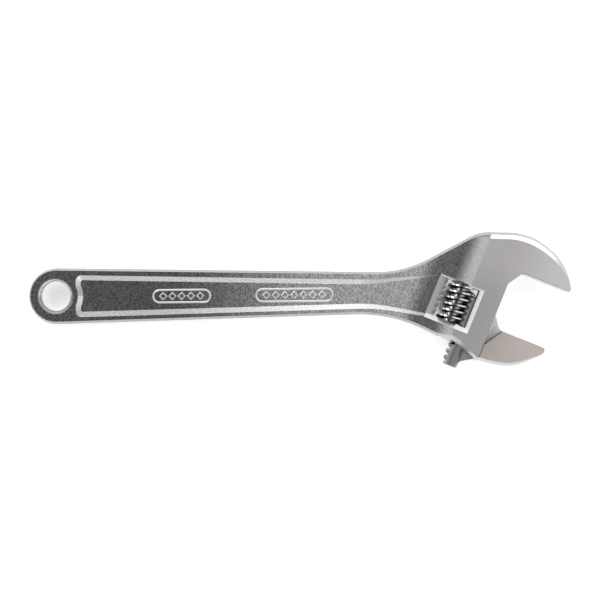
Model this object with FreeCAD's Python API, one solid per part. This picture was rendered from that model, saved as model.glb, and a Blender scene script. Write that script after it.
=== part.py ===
"""Adjustable wrench of the 450 mm (18 inch) size, in millimetres.

Row frame: the origin is the centre of the hang hole on the mid-plane, +X runs along the handle
to the head, +Y to the fixed jaw and +Z out of the front face.
Head frame: v runs out of the slide face to the jaw tips, s runs from the fixed jaw to the movable
jaw, and both are zero at the middle of the adjusting worm. z is shared by both frames.
"""

import FreeCAD, Part
import math
import os

Vector = FreeCAD.Vector

# ---- driving dimensions --------------------------------------------------------------------
HEAD_ANGLE = 22.5            # degrees that the jaws lean from the handle
WORM_CENTRE = (338.1, -8.9)  # middle of the worm in the row frame

# half thicknesses, measured from the mid-plane
RAIL_HALF = 8.0              # rails of the handle
PANEL_HALF = 5.0             # floor of the sunk panel
HEAD_HALF = 13.5             # ground faces of the head
PARTING_HALF = 1.2           # trimmed band round the forging
SHOULDER_HALF = 9.0          # where the drafted side meets the bevel

# handle
END_CENTRE_X = 0.5
END_RADIUS = 23.7
HOLE_RADIUS = 12.5
HOLE_LIP = 3.2
TAPER_TOP = 1.226            # degrees
TAPER_BOTTOM = 1.33
SIDE_INSET = 2.4             # how far the draft leans in at the shoulder
FACE_INSET = 6.0             # how far the bevel leans in at the ground face
STOCK = 1.0                  # left on the working faces of the forging, to be machined off
EDGE_EASE = 0.45             # chamfer on the edges of the ground faces

# head, in the head frame
SLIDE_FACE_V = 33.5
JAW_FACE_S = -43.5           # gripping face of the fixed jaw
JAW_TIP_V = 83.4
ROOT_V = 41.9                # the root chamfer runs from here to the slide face
ROOT_S = -30.6
FACE_START_V = 5.5           # the ground face begins here
RAMP_START_V = -13.0         # the neck starts to rise here
REST_OPENING = 51.4

# worm and its window
PITCH = 5.5
STARTS = 2
WORM_RADIUS = 12.5
WORM_ROOT = 6.7
WORM_TOP_S = -16.2
WORM_BOTTOM_S = 17.0
CREST_HALF = 0.6             # half width of the thread's crest and of its foot
FOOT_HALF = 1.85
WINDOW_TOP_S = -16.4
WINDOW_BOTTOM_S = 17.2
WINDOW_LEFT_V = -13.3
WINDOW_RIGHT_V = 14.1
SCOOP_LEFT_V = -21.5
SCOOP_DEPTH_Z = 1.0          # the thumb scoop ends this far above the mid-plane
TOP_BEVEL = 1.7
RIGHT_BEVEL = 3.2
BOTTOM_BEVEL = 3.8

# pin and spring in the worm
PIN_RADIUS = 3.0
PIN_HEAD_RADIUS = 4.4
PIN_PLAY = 0.05
PIN_TOP_S = -28.0
PIN_HEAD_S = 27.0
PIN_END_S = 30.9
SPRING_WIRE = 0.45           # wire radius
SPRING_RADIUS = 3.9
SPRING_TURNS = 5
SPRING_LENGTH = 9.0
COUNTERBORE = 4.7

# rack and jaw
ROD_V = 13.65
ROD_RADIUS = 6.85
RACK_ROOT_V = 13.0
ROD_TOP_S = -10.5
ROD_END_S = 51.6
TOOTH_S = 45.7               # middle of the last rack tooth
WEB_HALF = 4.0
JAW_MOVE = 0.08              # running clearance of the slide, the web and the rod
BORE_TOP_S = -62.6
MESH_GAP = 0.22              # backlash on each flank of the rack

# ---- frames and small helpers --------------------------------------------------------------
LEAN = math.radians(HEAD_ANGLE)
V_AXIS = Vector(math.cos(LEAN), -math.sin(LEAN), 0)
S_AXIS = Vector(-math.sin(LEAN), -math.cos(LEAN), 0)
Z_AXIS = Vector(0, 0, 1)
FAR = 600.0                  # longer than the wrench, for cutters that run right out of it


def head(v, s, z=0.0):
    """A point of the head frame, in the row frame."""
    return Vector(WORM_CENTRE[0], WORM_CENTRE[1], z) + V_AXIS * v + S_AXIS * s


def v_of(point):
    return (point - Vector(*WORM_CENTRE, 0)).dot(V_AXIS)


def s_of(point):
    return (point - Vector(*WORM_CENTRE, 0)).dot(S_AXIS)


def line(a, b):
    return Part.LineSegment(a, b).toShape()


def arc(a, b, c):
    return Part.Arc(a, b, c).toShape()


def prism(points, along):
    """The polygon through the points, pushed along a vector."""
    return Part.Face(Part.makePolygon(points + [points[0]])).extrude(along)


def plate(corners, low_z, high_z):
    """A plate whose outline is given by (v, s) corners."""
    return prism([head(v, s, low_z) for v, s in corners], Z_AXIS * (high_z - low_z))


def rod(v, start_s, end_s, radius):
    """A cylinder along s."""
    return Part.makeCylinder(radius, end_s - start_s, head(v, start_s), S_AXIS)


def mirrored(shape):
    """The same shape behind the mid-plane."""
    return shape.mirror(Vector(0, 0, 0), Z_AXIS)


def cut_both_faces(body, cutter):
    return body.cut([cutter, mirrored(cutter)])


def solid_between(rings):
    """The solid whose sides are ruled between matching edges of a stack of flat rings."""
    faces = [Part.makeRuledSurface(a, b)
             for low, high in zip(rings, rings[1:]) for a, b in zip(low, high)]
    faces += [Part.Face(Part.Wire(Part.__sortEdges__(ring))) for ring in (rings[0], rings[-1])]
    solid = Part.makeSolid(Part.makeShell(faces))
    if solid.Volume < 0:
        solid.reverse()
    return solid.removeSplitter()


def rounded_ring(corners, z):
    """The edges of a closed polygon whose corners (x, y, radius) are rounded."""
    count = len(corners)
    points = [Vector(x, y, z) for x, y, radius in corners]
    starts, ends, bends = [], [], []
    for i, (x, y, radius) in enumerate(corners):
        here = points[i]
        back = (points[i - 1] - here).normalize()
        ahead = (points[(i + 1) % count] - here).normalize()
        half = back.getAngle(ahead) / 2
        reach = radius / math.tan(half)
        middle = (back + ahead).normalize()
        starts.append(here + back * reach)
        ends.append(here + ahead * reach)
        bends.append(here + middle * (radius / math.sin(half) - radius))
    edges = []
    for i in range(count):
        edges.append(arc(starts[i], bends[i], ends[i]))
        edges.append(line(ends[i], starts[(i + 1) % count]))
    return edges


def reach_v(point, heading, v):
    """Where a line from the point, at that heading in degrees, reaches v."""
    along = Vector(math.cos(math.radians(heading)), math.sin(math.radians(heading)), 0)
    return point + along * ((v - v_of(point)) / along.dot(V_AXIS))


class Trail:
    """A path of tangent lines and arcs, with the body on its right (-1) or left (1) hand.

    inset moves the whole path into the body and keeps it tangent.
    """

    def __init__(self, x, y, heading, body_side, inset, z):
        self.heading = math.radians(heading)
        self.side = body_side
        self.inset = inset
        self.edges = []
        self.point = Vector(x, y, z) + self.left() * body_side * inset

    def left(self):
        return Vector(-math.sin(self.heading), math.cos(self.heading), 0)

    def ahead(self, length):
        target = self.point + Vector(math.cos(self.heading), math.sin(self.heading), 0) * length
        self.edges.append(line(self.point, target))
        self.point = target
        return self

    def turn(self, radius, degrees):
        """An arc with the outer path's radius. Positive degrees turn left."""
        hand = 1 if degrees > 0 else -1
        real_radius = radius - hand * self.side * self.inset
        centre = self.point + self.left() * hand * real_radius
        spoke = self.point - centre
        middle = centre + turned(spoke, degrees / 2)
        target = centre + turned(spoke, degrees)
        self.edges.append(arc(self.point, middle, target))
        self.point = target
        self.heading += math.radians(degrees)
        return self


def turned(vector, degrees):
    angle = math.radians(degrees)
    x = vector.x * math.cos(angle) - vector.y * math.sin(angle)
    y = vector.x * math.sin(angle) + vector.y * math.cos(angle)
    return Vector(x, y, 0)


# ---- the forging ---------------------------------------------------------------------------
# Levels of a forging's section, from the back face to the front.
LEVELS = [("face", -HEAD_HALF), ("shoulder", -SHOULDER_HALF), ("silhouette", -PARTING_HALF),
          ("silhouette", PARTING_HALF), ("shoulder", SHOULDER_HALF), ("face", HEAD_HALF)]
LEVEL_INSET = {"silhouette": 0.0, "shoulder": SIDE_INSET, "face": FACE_INSET}
# The lower edge of the head has a narrower bevel.
LOWER_INSET = {"silhouette": 0.0, "shoulder": 0.9, "face": 2.6}
# Back of the fixed jaw, from the hump to the tip.
JAW_BACK = {
    "silhouette": [(376.5, 50.4), (386.5, 50.1), (396.8, 48.0), (405.3, 44.7), (414.1, 38.9),
                   (422.1, 31.9), (430.3, 20.2), (433.9, 9.0)],
    "shoulder": [(376.2, 47.9), (385.8, 47.6), (395.0, 46.0), (403.0, 42.9), (411.6, 37.5),
                 (419.9, 30.3), (428.6, 19.3), (433.2, 9.0)],
    "face": [(376.0, 44.4), (384.4, 44.1), (392.6, 42.5), (400.2, 39.8), (408.8, 35.0),
             (417.4, 28.4), (426.6, 18.2), (432.2, 8.8)],
}
# Where the tip's small round starts and its middle.
JAW_TIP = {
    "silhouette": [(434.3, 3.2), (434.0, 0.6)],
    "shoulder": [(434.0, 3.2), (433.8, 0.6)],
    "face": [(433.3, 3.4), (433.4, 1.0)],
}


def over_the_top(level, z):
    """From the far left of the handle, along its upper edge, to the hump over the head."""
    trail = Trail(END_CENTRE_X - END_RADIUS, 0, 90, -1, LEVEL_INSET[level], z)
    trail.turn(END_RADIUS, -(90 + TAPER_TOP)).ahead(268.5)
    trail.turn(95, 27.7 + TAPER_TOP).ahead(38.5)
    trail.turn(36.0, -27.7)
    return trail


def under_the_bottom(level, z):
    """From the far left of the handle, along its lower edge, to the lower edge of the head."""
    trail = Trail(END_CENTRE_X - END_RADIUS, 0, -90, 1, LEVEL_INSET[level], z)
    trail.turn(END_RADIUS, 90 + TAPER_BOTTOM).ahead(251)
    trail.turn(125, -(27 + TAPER_BOTTOM)).ahead(18)
    trail.turn(60, -10)
    return trail


def lower_corner(level, z, v):
    """Where the lower edge of the head reaches v."""
    edge = under_the_bottom("silhouette", z)
    return reach_v(edge.point, math.degrees(edge.heading), v) - S_AXIS * LOWER_INSET[level]


def body_outline(level, z):
    """The edges of the forging's outline at one level, in order round the body."""
    top = over_the_top(level, z)
    back_points = [(top.point.x, top.point.y)] + JAW_BACK[level] + JAW_TIP[level][:1]
    back = Part.BSplineCurve()
    back.interpolate([Vector(x, y, z) for x, y in back_points],
                     InitialTangent=Vector(1, 0, 0), FinalTangent=Vector(0.06, -1, 0))
    tip_face = head(JAW_TIP_V, JAW_FACE_S, z)
    tip = arc(Vector(*JAW_TIP[level][0], z), Vector(*JAW_TIP[level][1], z), tip_face)
    stock_v = SLIDE_FACE_V + STOCK
    stock_s = JAW_FACE_S + STOCK
    tip_stock = head(JAW_TIP_V, stock_s, z)
    stock_root = [head(ROOT_V + STOCK, stock_s, z), head(stock_v, ROOT_S + STOCK, z)]
    bottom = under_the_bottom(level, z)
    corner = lower_corner(level, z, stock_v)
    working_points = [tip_face, tip_stock] + stock_root + [corner]
    working = [line(a, b) for a, b in zip(working_points, working_points[1:])]
    lower = [line(bottom.point, corner)]
    return top.edges + [back.toShape(), tip] + working + lower + bottom.edges[::-1]


def forging_blank():
    """The parting band, drafted sides and bevels of the whole forging, at full head thickness."""
    return solid_between([body_outline(name, z) for name, z in LEVELS])


def top_profile(s, drop, left_v):
    """A closed ring at one s: what lies above the top surface, lowered by drop."""
    run = FACE_START_V - RAMP_START_V
    rise = HEAD_HALF - RAIL_HALF
    radius = (run ** 2 + rise ** 2) / (2 * rise)
    half_turn = math.asin(run / radius) / 2
    middle_v = RAMP_START_V + radius * math.sin(half_turn)
    middle_z = RAIL_HALF + radius * (1 - math.cos(half_turn)) - drop
    rail_z = RAIL_HALF - drop
    face_z = HEAD_HALF - drop
    roof_z = 80.0
    right_v = 60.0
    left_rail = head(left_v, s, rail_z)
    ramp_foot = head(RAMP_START_V, s, rail_z)
    ramp_top = head(FACE_START_V, s, face_z)
    right = head(right_v, s, face_z)
    right_roof = head(right_v, s, roof_z)
    left_roof = head(left_v, s, roof_z)
    return [line(left_rail, ramp_foot), arc(ramp_foot, head(middle_v, s, middle_z), ramp_top),
            line(ramp_top, right), line(right, right_roof), line(right_roof, left_roof),
            line(left_roof, left_rail)]


def handle_relief():
    """Everything above the rails of the handle and the curved rise of the neck."""
    return solid_between([top_profile(-FAR, 0, -FAR), top_profile(FAR, 0, -FAR)])


def panel_recess():
    """The sunk panel of one face: sloped walls, and an end that bends round the hang hole."""
    outer_left, floor_left = 17.2, 21.2
    end = head(SCOOP_LEFT_V + 0.6, WINDOW_TOP_S - TOP_BEVEL)
    low_end = head(SCOOP_LEFT_V + 0.6, WINDOW_BOTTOM_S + BOTTOM_BEVEL - 0.6)
    floor_end = head(SCOOP_LEFT_V + 0.6, WINDOW_TOP_S)
    floor_low_end = head(SCOOP_LEFT_V + 0.6, WINDOW_BOTTOM_S + 0.6)
    outer = [(outer_left, 17.4, 5.0), (270.0, 11.25, 160), (end.x, end.y, 0.4),
             (low_end.x, low_end.y, 0.4), (268.9, -12.7, 150), (outer_left, -17.95, 5.0)]
    floor = [(floor_left, 13.3, 1.6), (263.0, 7.35, 160), (floor_end.x, floor_end.y, 0.4),
             (floor_low_end.x, floor_low_end.y, 0.4), (267.6, -8.5, 150), (floor_left, -13.4, 1.6)]
    recess = solid_between([rounded_ring(floor, PANEL_HALF), rounded_ring(outer, RAIL_HALF)])
    above = Part.Face(Part.Wire(Part.__sortEdges__(rounded_ring(outer, RAIL_HALF))))
    recess = recess.fuse(above.extrude(Z_AXIS * 2)).removeSplitter()
    boss_foot, boss_top, height = 23.0, 19.0, RAIL_HALF - PANEL_HALF
    slope = (boss_foot - boss_top) / height
    boss = Part.makeCone(boss_foot, boss_top - 2 * slope, height + 2, Vector(0, 0, PANEL_HALF), Z_AXIS)
    return recess.cut(boss)


def hang_hole():
    """The hole with both of its lips rounded."""
    flare = RAIL_HALF - HOLE_LIP
    outer = HOLE_RADIUS + HOLE_LIP
    diagonal = HOLE_LIP * math.sqrt(0.5)
    top = RAIL_HALF + 1
    lip = arc(Vector(HOLE_RADIUS, 0, flare), Vector(outer - diagonal, 0, flare + diagonal),
              Vector(outer, 0, RAIL_HALF))
    ring = [line(Vector(0, 0, -1), Vector(HOLE_RADIUS, 0, -1)),
            line(Vector(HOLE_RADIUS, 0, -1), Vector(HOLE_RADIUS, 0, flare)), lip,
            line(Vector(outer, 0, RAIL_HALF), Vector(outer, 0, top)),
            line(Vector(outer, 0, top), Vector(0, 0, top)), line(Vector(0, 0, top), Vector(0, 0, -1))]
    return Part.Face(Part.Wire(ring)).revolve(Vector(0, 0, 0), Z_AXIS, 360)


def eased(solid, corners):
    """The solid with a small chamfer on its ground faces' edges along the (v, s) corners."""
    spans = list(zip(corners, corners[1:]))
    chosen = []
    for edge in solid.Edges:
        ends = [vertex.Point for vertex in edge.Vertexes]
        if len(ends) != 2 or abs(abs(ends[0].z) - HEAD_HALF) > 0.01 or abs(ends[0].z - ends[1].z) > 0.01:
            continue
        for a, b in spans:
            targets = [head(*a, ends[0].z), head(*b, ends[0].z)]
            if all(min(end.distanceToPoint(t) for t in targets) < 0.05 for end in ends):
                chosen.append(edge)
    return solid.makeChamfer(EDGE_EASE, chosen)


def worm_window():
    """The cut for the worm on the front half: bevelled frame, thumb scoop and the hole itself."""
    left = SCOOP_LEFT_V
    reach = 45.0
    above_top_bevel = solid_between([
        top_profile(WINDOW_TOP_S - TOP_BEVEL - 4, -4, left),
        top_profile(WINDOW_TOP_S + reach, TOP_BEVEL + reach, left)])
    above_bottom_bevel = solid_between([
        top_profile(WINDOW_BOTTOM_S + BOTTOM_BEVEL + 4, -4 * 0.8, left),
        top_profile(WINDOW_BOTTOM_S - reach, (BOTTOM_BEVEL + reach) * 0.8, left)])
    bevel_bottom_z = HEAD_HALF - RIGHT_BEVEL
    outer_v = WINDOW_RIGHT_V + RIGHT_BEVEL + 4
    side = [head(left, -FAR, bevel_bottom_z + left - WINDOW_RIGHT_V),
            head(outer_v, -FAR, HEAD_HALF + 4), head(outer_v, -FAR, 60), head(left, -FAR, 60)]
    above_right_bevel = prism(side, S_AXIS * 2 * FAR)
    scoop_side = [head(left, -FAR, PANEL_HALF), head(WINDOW_LEFT_V, -FAR, SCOOP_DEPTH_Z),
                  head(60, -FAR, SCOOP_DEPTH_Z), head(60, -FAR, 60), head(left, -FAR, 60)]
    above_scoop = prism(scoop_side, S_AXIS * 2 * FAR)
    frame = above_top_bevel.common(above_bottom_bevel).common(above_right_bevel)
    walls = plate([(left, WINDOW_TOP_S), (WINDOW_RIGHT_V, WINDOW_TOP_S),
                   (WINDOW_RIGHT_V, WINDOW_BOTTOM_S), (left, WINDOW_BOTTOM_S)], 0, 40)
    hole = plate([(WINDOW_LEFT_V, WINDOW_TOP_S), (WINDOW_RIGHT_V, WINDOW_TOP_S),
                  (WINDOW_RIGHT_V, WINDOW_BOTTOM_S), (WINDOW_LEFT_V, WINDOW_BOTTOM_S)], -1, 40)
    return frame.fuse(walls).common(above_scoop).fuse(hole)


def wrench_body():
    low_s = s_of(lower_corner("face", HEAD_HALF, SLIDE_FACE_V))
    working = [(JAW_TIP_V, JAW_FACE_S), (ROOT_V, JAW_FACE_S), (SLIDE_FACE_V, ROOT_S),
               (SLIDE_FACE_V, low_s)]
    opening = [(120, JAW_FACE_S)] + working[1:3] + [(SLIDE_FACE_V, 80), (120, 80)]
    machined = forging_blank().cut(plate(opening, -2 * HEAD_HALF, 2 * HEAD_HALF))
    body = eased(machined, working)
    body = cut_both_faces(body, handle_relief())
    body = cut_both_faces(body, panel_recess())
    body = cut_both_faces(body, hang_hole())
    body = cut_both_faces(body, worm_window())
    bore = rod(ROD_V, BORE_TOP_S, 80, ROD_RADIUS + JAW_MOVE)
    web_slot = plate([(ROD_V, -57.3), (SLIDE_FACE_V - 0.3, -57.3), (41.4, -46.2), (45.0, -43.6),
                      (45.0, -30.0), (60, -30.0), (60, 80), (ROD_V, 80)],
                     -WEB_HALF - JAW_MOVE, WEB_HALF + JAW_MOVE)
    fixed_play = 0.02
    shank = rod(0, PIN_TOP_S - 0.3, 60, PIN_RADIUS + fixed_play)
    screw_head = rod(0, PIN_HEAD_S, 60, PIN_HEAD_RADIUS + fixed_play)
    return body.cut([bore, web_slot, shank, screw_head])


# ---- worm thread, shared by the worm and the rack ------------------------------------------
def thread_point(radius, degrees, s):
    """A point at an angle about the worm's axis, from the rack side towards the front face."""
    angle = math.radians(degrees)
    return head(radius * math.cos(angle), s, radius * math.sin(angle))


def helix_edge(radius, middle_s, first, last):
    """A right-handed helix of the worm's lead that crosses the rack side at middle_s."""
    steps = max(6, round((last - first) / 12))
    angles = [first + (last - first) * i / steps for i in range(steps + 1)]
    curve = Part.BSplineCurve()
    curve.interpolate([thread_point(radius, a, middle_s + PITCH * STARTS * a / 360) for a in angles])
    return curve.toShape()


def thread_ridge(middle_s, low, high, first, last):
    """A length of thread between two angles; low and high are (radius, half width) pairs."""
    corners = [(low[0], -low[1]), (high[0], -high[1]), (high[0], high[1]), (low[0], low[1])]
    edges = [helix_edge(radius, middle_s + shift, first, last) for radius, shift in corners]
    faces = [Part.makeRuledSurface(edges[i], edges[(i + 1) % 4]) for i in range(4)]
    for end in (0, -1):
        points = [edge.Vertexes[end].Point for edge in edges]
        faces.append(Part.Face(Part.makePolygon(points + [points[0]])))
    shell = Part.makeShell(faces)
    shell.sewShape()
    solid = Part.makeSolid(shell)
    if solid.Volume < 0:
        solid.reverse()
    return solid


def half_width(radius, gap):
    """Half width of the thread at a radius, plus a gap on each flank."""
    slope = (FOOT_HALF - CREST_HALF) / (WORM_RADIUS - WORM_ROOT)
    return CREST_HALF + slope * (WORM_RADIUS - radius) + gap


# ---- movable jaw ---------------------------------------------------------------------------
# Corners and curve points of the jaw in the head frame, for each level of its section.
SHOULDER_V = 44.0
SHOULDER_S = 24.1
JAW_FACE_END_V = 81.8
MOVABLE_FACE_S = JAW_FACE_S + REST_OPENING
JAW_CURVE = {
    "silhouette": [(83.5, 11.6), (79.4, 18.8), (72.9, 25.2), (66.0, 30.6), (58.3, 34.3),
                   (50.1, 36.5), (41.6, 38.0), (33.8, 38.6)],
    "shoulder": [(83.4, 11.2), (79.0, 18.1), (72.2, 24.4), (65.2, 29.6), (57.8, 33.2),
                 (49.9, 35.3), (41.5, 36.8), (33.8, 37.4)],
    "face": [(83.0, 10.8), (78.2, 16.9), (71.0, 23.0), (64.1, 27.9), (56.9, 31.3),
             (49.4, 33.3), (41.4, 34.8), (33.8, 35.4)],
}


def jaw_outline(level, z):
    left = SLIDE_FACE_V + JAW_MOVE - STOCK
    top = MOVABLE_FACE_S - STOCK
    curve_points = [head(v, s, z) for v, s in JAW_CURVE[level]]
    curve = Part.BSplineCurve()
    curve.interpolate(curve_points, InitialTangent=head(-0.12, 1) - head(0, 0),
                      FinalTangent=head(-1, 0.05) - head(0, 0))
    tip_face = head(JAW_FACE_END_V, MOVABLE_FACE_S, z)
    tip_middle = head(83.1 - (83.5 - JAW_CURVE[level][0][0]), 9.0, z)
    tip = arc(tip_face, tip_middle, curve_points[0])
    corner = head(left, top, z)
    tip_stock = head(JAW_FACE_END_V, top, z)
    low = head(left, JAW_CURVE[level][-1][1], z)
    return [line(corner, tip_stock), line(tip_stock, tip_face), tip, curve.toShape(),
            line(curve_points[-1], low), line(low, corner)]


def jaw_block():
    return solid_between([jaw_outline(name, z) for name, z in LEVELS])


def rack_grooves():
    """The worm's thread, widened by the backlash and run past both ends of the rack."""
    grooves = []
    low = (5.0, half_width(5.0, MESH_GAP))
    high = (RACK_ROOT_V, half_width(RACK_ROOT_V, MESH_GAP))
    count = math.ceil((ROD_END_S - ROD_TOP_S) / PITCH) + 1
    for i in range(count):
        middle = TOOTH_S + PITCH / 2 - i * PITCH
        grooves.append(thread_ridge(middle, low, high, -62, 62))
    return grooves


def movable_jaw():
    web = plate([(ROD_V, -4.3), (SLIDE_FACE_V, -4.3), (40.4, 5.7), (46.0, 9.2), (46.0, 35.0),
                 (34.0, 37.2), (31.5, 38.0), (21.4, 44.4), (17.1, 51.2), (ROD_V, 51.2)],
                -WEB_HALF, WEB_HALF)
    rack = rod(ROD_V, ROD_TOP_S, ROD_END_S, ROD_RADIUS)
    rack = rack.makeChamfer(1.2, [edge for edge in rack.Edges if len(edge.Vertexes) == 1])
    tail_relief = rod(0, ROD_END_S - 3.2, ROD_END_S + 5, 9.6)
    rack = rack.cut(tail_relief).cut(rack_grooves())
    left = SLIDE_FACE_V + JAW_MOVE
    working = [(left, JAW_CURVE["face"][-1][1]), (left, SHOULDER_S), (SHOULDER_V, MOVABLE_FACE_S),
               (JAW_FACE_END_V, MOVABLE_FACE_S)]
    around = [(left, 80), (left, SHOULDER_S), (SHOULDER_V, MOVABLE_FACE_S), (120, MOVABLE_FACE_S),
              (120, -20), (0, -20), (0, 80)]
    machined = jaw_block().cut(plate(around, -2 * HEAD_HALF, 2 * HEAD_HALF))
    return eased(machined, working).fuse([web, rack]).removeSplitter()


# ---- worm, pin and spring ------------------------------------------------------------------
def worm():
    """Two ridges on a long core, trimmed to length, then bored for the pin and the spring."""
    lead = PITCH * STARTS
    spare = PITCH
    core = rod(0, WORM_TOP_S - 2 * spare, WORM_BOTTOM_S + 2 * spare, WORM_ROOT)
    foot_radius = WORM_ROOT - 0.6
    low = (foot_radius, half_width(foot_radius, 0))
    high = (WORM_RADIUS, CREST_HALF)
    valley = TOOTH_S - 7.5 * PITCH
    ridges = []
    for start in range(STARTS):
        middle = valley + start * PITCH
        first = 360 * (WORM_TOP_S - spare - middle) / lead
        last = 360 * (WORM_BOTTOM_S + spare - middle) / lead
        ridges.append(thread_ridge(middle, low, high, first, last))
    thread = core.fuse(ridges).common(rod(0, WORM_TOP_S, WORM_BOTTOM_S, 2 * WORM_RADIUS))
    bore = rod(0, WORM_TOP_S - 1, WORM_BOTTOM_S + 1, PIN_RADIUS + PIN_PLAY)
    counterbore = rod(0, WORM_BOTTOM_S - SPRING_LENGTH, WORM_BOTTOM_S + 1, COUNTERBORE)
    return thread.cut([bore, counterbore])


def worm_pin():
    """The pin that the worm turns on, with a slotted head in the lower edge of the head."""
    pin = rod(0, PIN_TOP_S, PIN_HEAD_S, PIN_RADIUS)
    pin = pin.fuse(rod(0, PIN_HEAD_S, PIN_END_S, PIN_HEAD_RADIUS)).removeSplitter()
    slot_half, slot_depth = 0.6, 1.4
    slot = plate([(-8, PIN_END_S - slot_depth), (8, PIN_END_S - slot_depth),
                  (8, PIN_END_S + 1), (-8, PIN_END_S + 1)], -slot_half, slot_half)
    return pin.cut(slot)


def worm_spring():
    """Round wire wound about the pin, between the counterbore's floor and the window's wall."""
    height = SPRING_LENGTH + WINDOW_BOTTOM_S - WORM_BOTTOM_S - 2 * SPRING_WIRE - 0.2
    helix = Part.makeHelix(height / SPRING_TURNS, height, SPRING_RADIUS)
    section = Part.makeCircle(SPRING_WIRE, Vector(SPRING_RADIUS, 0, 0), Vector(0, 1, 0))
    coil = Part.Wire(helix).makePipeShell([Part.Wire(section)], True, True)
    first_turn = head(0, WORM_BOTTOM_S - SPRING_LENGTH + SPRING_WIRE + 0.1)
    coil.Placement = FreeCAD.Placement(first_turn, FreeCAD.Rotation(Z_AXIS, S_AXIS))
    return coil


if __name__ == "__main__":
    os.makedirs("parts", exist_ok=True)
    for make in (wrench_body, movable_jaw, worm, worm_pin, worm_spring):
        solid = make()
        print(make.__name__, solid.isValid(), round(solid.Volume), len(solid.Solids), flush=True)
        solid.exportStep(os.path.join("parts", make.__name__ + ".step"))
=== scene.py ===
"""Looks of the adjustable wrench: materials, raised badges, floor, light and camera. Metres."""
import math

import bmesh
import bpy
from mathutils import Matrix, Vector


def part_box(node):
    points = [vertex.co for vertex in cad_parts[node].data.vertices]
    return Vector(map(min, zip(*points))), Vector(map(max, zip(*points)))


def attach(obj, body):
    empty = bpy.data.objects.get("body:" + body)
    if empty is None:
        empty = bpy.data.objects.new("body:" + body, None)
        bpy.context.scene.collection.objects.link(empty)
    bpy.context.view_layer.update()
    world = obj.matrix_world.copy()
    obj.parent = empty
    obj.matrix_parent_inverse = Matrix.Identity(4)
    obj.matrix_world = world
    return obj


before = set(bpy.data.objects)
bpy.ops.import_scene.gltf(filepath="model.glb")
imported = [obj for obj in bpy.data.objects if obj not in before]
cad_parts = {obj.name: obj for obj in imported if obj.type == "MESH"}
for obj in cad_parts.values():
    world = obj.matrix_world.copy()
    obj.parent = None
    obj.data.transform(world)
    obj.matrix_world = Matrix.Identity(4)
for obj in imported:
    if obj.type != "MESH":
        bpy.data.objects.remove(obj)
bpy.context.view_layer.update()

# ---- sizes and axes of the part ------------------------------------------------------------
BODY_LOW, BODY_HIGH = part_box("wrench_body")
HEAD_HALF = BODY_HIGH[2]                 # height of the head's ground faces over the middle
PANEL_HALF = 0.005                       # height of the sunk panel's floor over the middle
LEAN = math.radians(22.5)                # the jaws lean from the handle by this
WORM_CENTRE = Vector((0.3381, -0.0089, 0))
V_AXIS = Vector((math.cos(LEAN), -math.sin(LEAN), 0))     # from the worm to the jaws
S_AXIS = Vector((-math.sin(LEAN), -math.cos(LEAN), 0))    # along the worm

# ---- edges of the areas on the metal -------------------------------------------------------
# Each pair is where a mask is 0 and where it is 1: a place along V_AXIS or S_AXIS from
# WORM_CENTRE, or a height over the middle of the part.
WINDOW_LEFT = (-0.0217, -0.0213)
WINDOW_RIGHT = (0.0178, 0.0175)
WINDOW_TOP = (-0.0185, -0.0182)
WINDOW_BOTTOM = (0.0216, 0.0212)
SCOOP_RIGHT = (-0.0115, -0.0120)
SCOOP_ENDS = (0.0200, 0.0190)
SCOOP_HEIGHT = (0.0052, 0.0050)
GROUND_HEIGHT = (HEAD_HALF - 0.0003, HEAD_HALF - 0.0001)
WEB_HEIGHT = (0.0043, 0.0041)
WEB_LEFT = (0.030, 0.032)
RACK_RIGHT = (0.0215, 0.0205)
STEP_FACING = (-0.569, 0.821, 0.0)       # the way the small step beside the jaw's web faces

# ---- depth of the small marks, set as bump -------------------------------------------------
GRAIN_DEPTH = 0.00024
STREAK_DEPTH = 0.00005
STEEL_DEPTH = 0.00005
WORM_DEPTH = 0.0001

# ---- badges: middle along X, half length, number of lozenges -------------------------------
SIZE_BADGE = (0.1062, 0.0248, 5)
MAKER_BADGE = (0.2012, 0.0330, 7)
BADGE_Y = -0.0009
BADGE_HALF_HEIGHT = 0.0060
LOZENGE_HALF = 0.0036
LOZENGE_PITCH = 0.0078

# ---- floor, light and camera ---------------------------------------------------------------
FLOOR_SIZE = 6.0
FLOOR_GAP = 0.0002                       # between the part and the floor
FLOOR_GLOW = 0.55
SCENE_MIDDLE = (0.22, 0, 0)
CAMERA_PLACE = (0.2060, -0.0052, 1.692)
CAMERA_ROLL = math.radians(-0.55)


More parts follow.
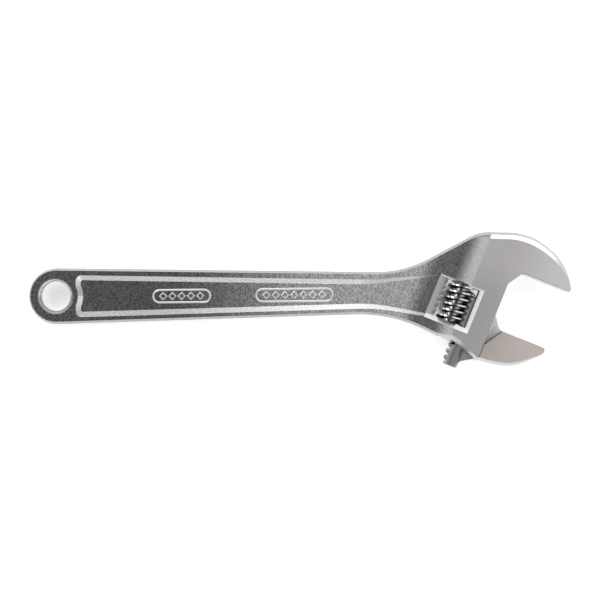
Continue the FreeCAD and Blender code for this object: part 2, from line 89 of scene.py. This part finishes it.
# ---- node helpers --------------------------------------------------------------------------
class Nodes:
    """Short calls for building a node tree."""

    def __init__(self, tree):
        self.tree = tree

    def add(self, kind, inputs=None, **settings):
        node = self.tree.nodes.new(kind)
        for name, value in settings.items():
            setattr(node, name, value)
        for name, value in (inputs or {}).items():
            self.put(value, node.inputs[name])
        return node

    def put(self, value, socket):
        if isinstance(value, bpy.types.NodeSocket):
            self.tree.links.new(value, socket)
        else:
            socket.default_value = value

    def math(self, operation, a, b=0.0, clamp=False):
        node = self.add("ShaderNodeMath", {0: a, 1: b}, operation=operation, use_clamp=clamp)
        return node.outputs[0]

    def times(self, a, b):
        return self.math("MULTIPLY", a, b)

    def step(self, value, low, high):
        """0 at low and 1 at high, smooth between. It falls where low is the larger one."""
        node = self.add("ShaderNodeMapRange", {"Value": value, "From Min": low, "From Max": high},
                        interpolation_type="SMOOTHSTEP")
        return node.outputs["Result"]

    def mix(self, amount, a, b):
        node = self.add("ShaderNodeMix", {"Factor": amount, "A": a, "B": b})
        return node.outputs["Result"]

    def mix_colour(self, amount, a, b):
        node = self.add("ShaderNodeMix", data_type="RGBA")
        for socket, value in zip([node.inputs[0], node.inputs[6], node.inputs[7]], [amount, a, b]):
            self.put(value, socket)
        return node.outputs[2]

    def vector(self, operation, a, b=None):
        inputs = {0: a} if b is None else {0: a, 1: b}
        return self.add("ShaderNodeVectorMath", inputs, operation=operation)

    def dot(self, a, b):
        return self.vector("DOT_PRODUCT", a, b).outputs["Value"]

    def noise(self, vector, scale, detail=2.0, roughness=0.5):
        node = self.add("ShaderNodeTexNoise", {"Vector": vector, "Scale": scale, "Detail": detail,
                                               "Roughness": roughness})
        return node.outputs["Fac"]

    def bump(self, height, distance, strength):
        inputs = {"Height": height, "Distance": distance, "Strength": strength}
        return self.add("ShaderNodeBump", inputs).outputs["Normal"]


def grey(value):
    return (value, value, value, 1.0)


# ---- materials -----------------------------------------------------------------------------
def metal(name):
    """A new metal: the material, its node helpers, its shader and the coordinates of a point."""
    material = bpy.data.materials.new(name)
    material.use_nodes = True
    nodes = Nodes(material.node_tree)
    shader = material.node_tree.nodes["Principled BSDF"]
    shader.inputs["Metallic"].default_value = 1.0
    point = nodes.add("ShaderNodeTexCoord").outputs
    return material, nodes, shader, point


def ground_streaks(nodes, place):
    """Fine straight marks of a grinding belt. They run along Y."""
    turned = nodes.add("ShaderNodeMapping", {"Vector": place, "Rotation": (0, 0, LEAN),
                                             "Scale": (1.0, 0.06, 1.0)})
    return nodes.noise(turned.outputs["Vector"], 2600.0, detail=3.0, roughness=0.6)


def from_worm(nodes, place):
    return nodes.vector("SUBTRACT", place, tuple(WORM_CENTRE)).outputs[0]


def along(nodes, place, axis):
    """How far a point lies from the worm's middle, along one axis of the head."""
    return nodes.dot(from_worm(nodes, place), tuple(axis))


def window_masks(nodes, v, s, height, upright):
    """1 on the smooth thumb scoop, and 1 on the bevelled frame round the worm's window."""
    left = nodes.step(v, *WINDOW_LEFT)
    scoop = nodes.times(left, nodes.step(v, *SCOOP_RIGHT))
    scoop = nodes.times(scoop, nodes.step(nodes.math("ABSOLUTE", s), *SCOOP_ENDS))
    scoop = nodes.times(scoop, nodes.step(height, *SCOOP_HEIGHT))
    across = nodes.times(left, nodes.step(v, *WINDOW_RIGHT))
    down = nodes.times(nodes.step(s, *WINDOW_TOP), nodes.step(s, *WINDOW_BOTTOM))
    sloped = nodes.times(nodes.step(upright, 0.48, 0.52), nodes.step(upright, 0.82, 0.80))
    return scoop, nodes.times(nodes.times(across, down), sloped)


def forged_level(nodes, x, v):
    """How bright the flat forged skin is painted, as painted light and shade: shaded at the handle's
    end, brighter towards the neck.
    """
    shaded_end, lit_end, neck_level, head_level = 0.20, 0.74, 0.25, 0.40
    handle = nodes.mix(nodes.step(x, 0.09, 0.25), shaded_end, lit_end)
    neck = nodes.mix(nodes.step(v, -0.042, -0.026), handle, neck_level)
    return nodes.mix(nodes.step(v, -0.013, 0.003), neck, head_level)


def slope_level(nodes, x, v, y_tilt, upright):
    """How bright the bevels and walls are painted: painted light and shade by the way they face,
    upper ones facing +Y and lower ones facing -Y, and by place.
    """
    upper_end, upper_neck, upper_tips, hump_level = 0.44, 0.95, 0.45, 0.25
    lower_handle, lower_head = 0.88, 0.50
    side_level, side_below_head = 0.36, 0.62
    upper = nodes.mix(nodes.step(x, 0.08, 0.27), upper_end, upper_neck)
    upper = nodes.mix(nodes.step(v, 0.056, 0.070), upper, upper_tips)
    hump = nodes.times(nodes.step(x, 0.335, 0.345), nodes.step(v, 0.007, 0.004))
    upper = nodes.mix(hump, upper, hump_level)
    lower = nodes.mix(nodes.step(x, 0.29, 0.33), lower_handle, lower_head)
    bevels = nodes.mix(nodes.step(y_tilt, -0.1, 0.1), lower, upper)
    below_head = nodes.times(nodes.step(x, 0.31, 0.34), nodes.step(y_tilt, 0.1, -0.1))
    sides = nodes.mix(below_head, side_level, side_below_head)
    return nodes.mix(nodes.step(upright, 0.42, 0.30), bevels, sides)


def satin_level(nodes, v, s):
    """How bright the ground faces are painted: painted light, a little brighter at the tips and up
    the fixed jaw.
    """
    by_slide, by_tips, more_upward = 0.45, 0.60, 0.09
    toward_tips = nodes.mix(nodes.step(v, 0.020, 0.075), by_slide, by_tips)
    upward = nodes.mix(nodes.step(s, -0.010, -0.050), 0.0, more_upward)
    return nodes.math("ADD", toward_tips, upward)


def forged_grains(nodes, place, coarse, v, smooth):
    """The height of the forged grain: less of it on the head, none on the smooth areas."""
    even = 0.8
    fine = nodes.noise(place, 1900.0)
    grains = nodes.math("ADD", coarse, nodes.times(fine, 0.6))
    fading = nodes.times(nodes.step(v, -0.008, 0.005), 0.40)
    return nodes.mix(nodes.math("MAXIMUM", smooth, fading), grains, even)


def put_surface(nodes, shader, ground, forged_bump, ground_bump):
    """The ground faces take one bump, and the forged skin the other."""
    blend = nodes.add("ShaderNodeMix", {"Factor": ground}, data_type="VECTOR")
    nodes.put(forged_bump, blend.inputs[4])
    nodes.put(ground_bump, blend.inputs[5])
    nodes.put(blend.outputs[1], shader.inputs["Normal"])


def put_tinted(nodes, shader, level, ground, cloud, warm, warmest):
    """The base colour: grey on the forged skin, and on the ground faces a painted warm reflection in
    soft clouds.
    """
    tint = nodes.mix_colour(nodes.step(cloud, 0.35, 0.65),
                            (1.0 + warm, 1.0, 1.0 - warm * 0.4, 1.0),
                            (1.0 + warmest, 1.0, 1.0 - warmest * 0.4, 1.0))
    tinted = nodes.mix_colour(ground, grey(1.0), tint)
    colour = nodes.vector("SCALE", tinted)
    nodes.put(level, colour.inputs["Scale"])
    nodes.put(colour.outputs[0], shader.inputs["Base Color"])


def jaw_areas(nodes, level, rough, v, height, normal, coarse):
    """The movable jaw's own areas: its frosted web, its rack darkened as painted shade, and a step
    by the web painted dark as shade.
    """
    rack_shade_level, step_shade_level, web_rough = 0.26, 0.08, 0.6
    past_web_edge = nodes.step(v, *WEB_LEFT)
    web = nodes.times(nodes.step(height, *WEB_HEIGHT), past_web_edge)
    frosted = nodes.mix(nodes.step(coarse, 0.3, 0.7), 0.80, 1.0)
    level = nodes.mix(web, level, frosted)
    # painted shade: the rack is darkened
    level = nodes.mix(nodes.step(v, *RACK_RIGHT), level, rack_shade_level)
    # painted shade: the step that faces STEP_FACING is painted nearly black
    facing = nodes.step(nodes.dot(normal, STEP_FACING), 0.5, 0.6)
    level = nodes.mix(nodes.times(facing, past_web_edge), level, step_shade_level)
    return level, nodes.mix(web, rough, web_rough)


def chrome_material(name, warm, warmest, grain, has_web):
    """Chrome over a forging: grainy where it was left as forged, satin where it was ground.

    warm and warmest bound the painted warm reflection on the ground faces, and grain scales the
    forged bump.
    """
    # Painted light: a lit grey on the thumb scoop and a painted highlight on the window's frame
    # bevel.
    scoop_lit_level, bevel_highlight_level = 0.46, 0.97
    slope_rough, head_rough, bevel_rough = 0.24, 0.44, 0.42
    material, nodes, shader, point = metal(name)
    place = point["Object"]
    normal = point["Normal"]
    split = nodes.add("ShaderNodeSeparateXYZ", {"Vector": place}).outputs
    tilt = nodes.add("ShaderNodeSeparateXYZ", {"Vector": normal}).outputs
    height = nodes.math("ABSOLUTE", split["Z"])
    upright = nodes.math("ABSOLUTE", tilt["Z"])
    v = along(nodes, place, V_AXIS)
    s = along(nodes, place, S_AXIS)
    ground = nodes.times(nodes.step(height, *GROUND_HEIGHT), nodes.step(upright, 0.97, 0.99))
    flat = nodes.mix(nodes.step(v, -0.016, -0.013), nodes.step(upright, 0.86, 0.92),
                     nodes.step(upright, 0.810, 0.828))
    scoop, frame_bevel = window_masks(nodes, v, s, height, upright)
    coarse = nodes.noise(place, 700.0, detail=3.0, roughness=0.6)
    streaks = ground_streaks(nodes, place)
    grains = forged_grains(nodes, place, coarse, v, nodes.math("MAXIMUM", scoop, frame_bevel))
    put_surface(nodes, shader, ground, nodes.bump(grains, GRAIN_DEPTH * grain, 0.9),
                nodes.bump(streaks, STREAK_DEPTH, 0.6))

    specks = nodes.mix(nodes.step(grains, 0.55, 1.05), 0.74, 1.20)
    # painted light and shade: the forged skin by place, the bevels and walls by facing, then the
    # scoop and the frame bevel
    skin = nodes.math("MULTIPLY", forged_level(nodes, split["X"], v), specks, clamp=True)
    level = nodes.mix(flat, slope_level(nodes, split["X"], v, tilt["Y"], upright), skin)
    level = nodes.mix(scoop, level, scoop_lit_level)
    level = nodes.mix(frame_bevel, level, bevel_highlight_level)
    rough = nodes.mix(flat, slope_rough, nodes.mix(nodes.step(coarse, 0.3, 0.7), 0.20, 0.32))
    rough = nodes.mix(nodes.times(flat, nodes.step(v, -0.013, 0.000)), rough, head_rough)
    rough = nodes.mix(frame_bevel, rough, bevel_rough)
    if has_web:
        level, rough = jaw_areas(nodes, level, rough, v, height, normal, coarse)
    # painted light on the ground faces by place, times the grinding streaks
    satin = nodes.times(satin_level(nodes, v, s), nodes.mix(streaks, 0.94, 1.06))
    level = nodes.mix(ground, level, satin)
    put_tinted(nodes, shader, level, ground, nodes.noise(place, 60.0), warm, warmest)
    satin_rough = nodes.mix(streaks, 0.56, 0.66)
    nodes.put(nodes.mix(ground, rough, satin_rough), shader.inputs["Roughness"])
    return material


def worm_material():
    """Polished steel with light and shade painted in its base colour: bright crests as a painted
    highlight, dark flanks as painted shade, and greyer roots that dim their reflections.
    """
    material, nodes, shader, point = metal("worm_chrome")
    place = point["Object"]
    axial = nodes.vector("SCALE", tuple(S_AXIS))
    nodes.put(along(nodes, place, S_AXIS), axial.inputs["Scale"])
    radial = nodes.vector("SUBTRACT", from_worm(nodes, place), axial.outputs[0])
    radius = nodes.vector("LENGTH", radial.outputs[0]).outputs["Value"]
    crest = nodes.step(radius, 0.0121, 0.0124)
    root = nodes.step(radius, 0.0078, 0.0069)
    marks = nodes.noise(place, 900.0, detail=3.0)
    # painted shade on the flanks, a dimmer grey on the roots, and a painted highlight on the crests
    flank = nodes.mix_colour(marks, grey(0.03), grey(0.08))
    valley = nodes.mix_colour(root, flank, grey(0.32))
    nodes.put(nodes.mix_colour(crest, valley, grey(0.92)), shader.inputs["Base Color"])
    nodes.put(nodes.mix(marks, 0.10, 0.20), shader.inputs["Roughness"])
    nodes.put(nodes.bump(marks, WORM_DEPTH, 0.5), shader.inputs["Normal"])
    return material


def plain_steel(name, value, roughness):
    """Steel of one brightness and one roughness, each varied a little by fine marks."""
    material, nodes, shader, point = metal(name)
    marks = nodes.noise(point["Object"], 1500.0, detail=3.0)
    nodes.put(nodes.mix_colour(marks, grey(value * 0.8), grey(value)), shader.inputs["Base Color"])
    nodes.put(nodes.mix(marks, roughness * 0.8, roughness * 1.2), shader.inputs["Roughness"])
    nodes.put(nodes.bump(marks, STEEL_DEPTH, 0.5), shader.inputs["Normal"])
    return material


def dress(node, material):
    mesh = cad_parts[node].data
    mesh.materials.clear()
    mesh.materials.append(material)


# ---- raised badges on the sunk panels ------------------------------------------------------
def bar_outline(half_length, half_height):
    """Points round a bar with round ends."""
    steps = 16
    straight = half_length - half_height
    points = []
    for centre, first in ((straight, -90), (-straight, 90)):
        for i in range(steps + 1):
            angle = math.radians(first + 180 * i / steps)
            points.append((centre + half_height * math.cos(angle), half_height * math.sin(angle)))
    return points


def lozenge_outline(half_length, half_height):
    return [(half_length, 0.0), (0.0, half_height), (-half_length, 0.0), (0.0, -half_height)]


def raised_line(mesh, outline, centre, half_size, face):
    """A low ridge on the panel's floor that follows a closed outline."""
    width, rise, sunk = 0.0015, 0.00040, 0.0003
    section = [(0.0, -sunk), (0.0, 0.0), (width * 0.42, rise), (width * 0.58, rise),
               (width, 0.0), (width, -sunk)]
    rings = []
    for inset, height in section:
        points = outline(half_size[0] - inset, half_size[1] - inset)
        rings.append([mesh.verts.new((centre[0] + x, centre[1] + y, face * (PANEL_HALF + height)))
                      for x, y in points])
    count = len(rings[0])
    for a, b in zip(rings, rings[1:] + rings[:1]):
        for i in range(count):
            j = (i + 1) % count
            corners = (a[i], a[j], b[j], b[i]) if face > 0 else (b[i], b[j], a[j], a[i])
            mesh.faces.new(corners)


def badge(name, layout, face, material):
    """A raised bar outline with a row of lozenges in it, where a maker would put a mark."""
    centre_x, half_length, pips = layout
    mesh = bmesh.new()
    raised_line(mesh, bar_outline, (centre_x, BADGE_Y), (half_length, BADGE_HALF_HEIGHT), face)
    for i in range(pips):
        x = centre_x + (i - (pips - 1) / 2) * LOZENGE_PITCH
        raised_line(mesh, lozenge_outline, (x, BADGE_Y), (LOZENGE_HALF, LOZENGE_HALF), face)
    data = bpy.data.meshes.new(name)
    mesh.to_mesh(data)
    mesh.free()
    piece = bpy.data.objects.new(name, data)
    bpy.context.scene.collection.objects.link(piece)
    data.materials.append(material)
    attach(piece, "frame")


def badges(material):
    for face, side in ((1, "front"), (-1, "back")):
        badge("size_badge_" + side, SIZE_BADGE, face, material)
        badge("maker_badge_" + side, MAKER_BADGE, face, material)


# ---- floor, light and camera ---------------------------------------------------------------
def floor():
    """A pale floor. It glows a little, but not under the worm's window and less at the hang hole:
    painted shade at both.
    """
    bpy.ops.mesh.primitive_plane_add(size=FLOOR_SIZE, location=(0.2, 0, BODY_LOW[2] - FLOOR_GAP))
    plane = bpy.context.object
    plane.name = "floor"
    material = bpy.data.materials.new("pale_floor")
    material.use_nodes = True
    nodes = Nodes(material.node_tree)
    shader = material.node_tree.nodes["Principled BSDF"]
    place = nodes.add("ShaderNodeNewGeometry").outputs["Position"]
    offset = nodes.vector("DISTANCE", place, tuple(WORM_CENTRE)).outputs["Value"]
    from_hole = nodes.vector("LENGTH", place).outputs["Value"]
    # painted shade: no glow under the worm's window, and less glow at the hang hole
    window_shade = nodes.step(offset, 0.017, 0.025)
    hole_shade = nodes.mix(nodes.step(from_hole, 0.014, 0.020), 0.75, 1.0)
    glow = nodes.times(window_shade, hole_shade)
    shader.inputs["Base Color"].default_value = (0.9, 0.9, 0.9, 1)
    shader.inputs["Roughness"].default_value = 0.9
    shader.inputs["Specular IOR Level"].default_value = 0.0
    shader.inputs["Emission Color"].default_value = (1, 1, 1, 1)
    nodes.put(nodes.times(glow, FLOOR_GLOW), shader.inputs["Emission Strength"])
    plane.data.materials.append(material)


def sky():
    """A soft tent of light: dark overhead, and brighter on the +Y side than on the -Y side.

    The horizon is dimmer than the ring over it, but towards -X it is the other way round.
    """
    overhead_level, left_ring, left_horizon = 0.09, 0.50, 1.1
    world = bpy.data.worlds.new("tent")
    world.use_nodes = True
    nodes = Nodes(world.node_tree)
    direction = nodes.add("ShaderNodeTexCoord").outputs["Generated"]
    dark_centre = Vector((-0.14, 0.02, 0.99)).normalized()
    split = nodes.add("ShaderNodeSeparateXYZ", {"Vector": direction}).outputs
    dark = nodes.step(nodes.dot(direction, tuple(dark_centre)), 0.86, 0.99)
    side = nodes.step(split["Y"], -0.6, 0.6)
    left = nodes.step(split["X"], -0.1, -0.8)
    low = nodes.step(split["Z"], 0.40, 0.08)
    ring = nodes.mix(left, nodes.mix(side, 0.72, 1.15), left_ring)
    horizon = nodes.mix(left, nodes.mix(side, 0.45, 0.85), left_horizon)
    strength = nodes.mix(dark, nodes.mix(low, ring, horizon), overhead_level)
    background = world.node_tree.nodes["Background"]
    nodes.put(strength, background.inputs["Strength"])
    background.inputs["Color"].default_value = (1, 1, 1, 1)
    bpy.context.scene.world = world


def area_light(name, place, target, size, power):
    data = bpy.data.lights.new(name, "AREA")
    data.shape = "RECTANGLE"
    data.size, data.size_y = size
    data.energy = power
    lamp = bpy.data.objects.new(name, data)
    lamp.location = place
    lamp.rotation_euler = (Vector(target) - Vector(place)).to_track_quat("-Z", "Y").to_euler()
    bpy.context.scene.collection.objects.link(lamp)


def lights():
    area_light("key", (-0.4, 1.3, 1.5), SCENE_MIDDLE, (1.2, 0.5), 6)
    area_light("fill", (0.8, -1.5, 1.2), SCENE_MIDDLE, (1.2, 0.5), 3)
    area_light("left_window", (-0.69, 0.42, 1.0), tuple(WORM_CENTRE), (0.35, 0.35), 1.6)


def camera():
    data = bpy.data.cameras.new("camera")
    data.lens = 120
    data.sensor_width = 36
    eye = bpy.data.objects.new("camera", data)
    eye.location = CAMERA_PLACE
    eye.rotation_euler = (0, 0, CAMERA_ROLL)
    bpy.context.scene.collection.objects.link(eye)
    bpy.context.scene.camera = eye


camera()
floor()
sky()
lights()
bpy.context.scene.view_settings.view_transform = "Standard"

badge_metal = plain_steel("badge_chrome", 0.98, 0.22)
badges(badge_metal)
dress("wrench_body", chrome_material("forged_body", 0.0, 0.04, 1.0, False))
dress("movable_jaw", chrome_material("forged_jaw", 0.06, 0.14, 0.8, True))
dress("worm", worm_material())
dress("worm_pin", plain_steel("pin_steel", 0.55, 0.3))
dress("worm_spring", plain_steel("spring_steel", 0.5, 0.3))
